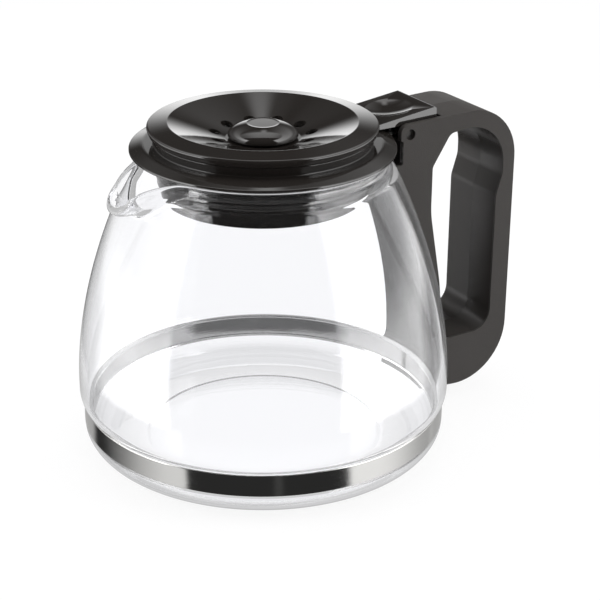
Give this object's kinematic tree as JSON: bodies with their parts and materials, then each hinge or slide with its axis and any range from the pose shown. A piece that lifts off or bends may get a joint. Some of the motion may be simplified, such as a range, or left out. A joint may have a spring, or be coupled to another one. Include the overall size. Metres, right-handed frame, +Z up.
{
  "type": "coffee server carafe",
  "caption": "Glass coffee jug with a steel band, a strap handle and a hinged lid with thumb lever, pull-up drip dish and knob.",
  "frame": {"origin": "on the surface the jug stands on, on the axis of the glass", "axes": "+Z up along the glass axis, +X towards the handle, spout towards -X, hinge pin along Y"},
  "size_m": [0.1784, 0.143, 0.1288],
  "materials": {
    "jug_glass": "clear pressed and blown borosilicate glass, fire-polished rim",
    "band_steel": "polished stainless strip with light circumferential scratches",
    "fastener_steel": "plain zinc-plated steel",
    "handle_plastic": "charcoal moulding, fine matte texture on the side faces, smoother edges",
    "hook_enamel": "black enamel on steel strip",
    "lid_plastic": "glossy near-black moulding"
  },
  "bodies": {
    "jug": {"glass_jug": "jug_glass", "glass_band": "band_steel", "band_screw": "fastener_steel", "band_nut": "fastener_steel", "handle_left": "handle_plastic", "handle_right": "handle_plastic", "handle_screws": "fastener_steel", "rim_hook": "hook_enamel", "hinge_pin": "fastener_steel"},
    "lid": {"lid_collar": "lid_plastic", "thumb_lever": "lid_plastic", "lever_screws": "fastener_steel"},
    "dish": {"lid_dish": "lid_plastic", "knob": "lid_plastic", "knob_screw": "fastener_steel"}
  },
  "joints": [
    {"name": "lid_hinge", "type": "hinge", "parent": "jug", "child": "lid", "pos_m": [0.056, 0, 0.118], "axis": [0, 1, 0], "range_deg": [0, 75]},
    {"name": "dish_lift", "type": "slide", "parent": "lid", "child": "dish", "axis": [0, 0, 1], "range_m": [0, 0.008]}
  ]
}
